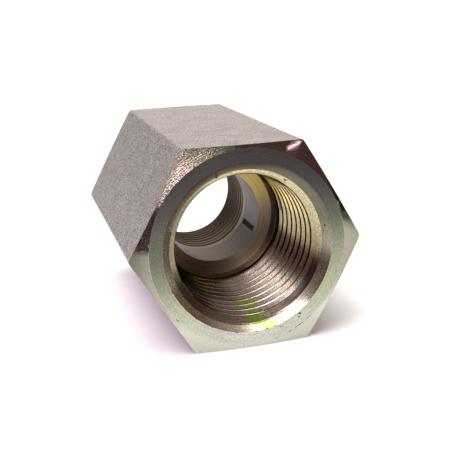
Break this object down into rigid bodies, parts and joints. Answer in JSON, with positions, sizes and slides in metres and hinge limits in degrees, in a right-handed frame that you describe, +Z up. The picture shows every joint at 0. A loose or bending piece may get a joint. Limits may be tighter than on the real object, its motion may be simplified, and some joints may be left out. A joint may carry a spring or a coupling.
{
  "type": "threaded socket coupling",
  "caption": "Hexagon steel socket coupling with a taper-threaded female bore at each end, one larger than the other, and a plain hole through the web between them.",
  "frame": {"origin": "under the middle of the bar, on the surface it lies on", "axes": "Y runs along the bore and the larger threaded end faces -Y, X is across the corners of the hexagon, Z is up and the coupling lies on the lowest flat"},
  "size_m": [0.0312, 0.0434, 0.027],
  "materials": {
    "zinc_plated_steel": "free-cutting steel, zinc plated with a thin iridescent yellow-green passivate, sawn and turned"
  },
  "bodies": {
    "root": {"hex_coupling": "zinc_plated_steel"}
  },
  "joints": []
}
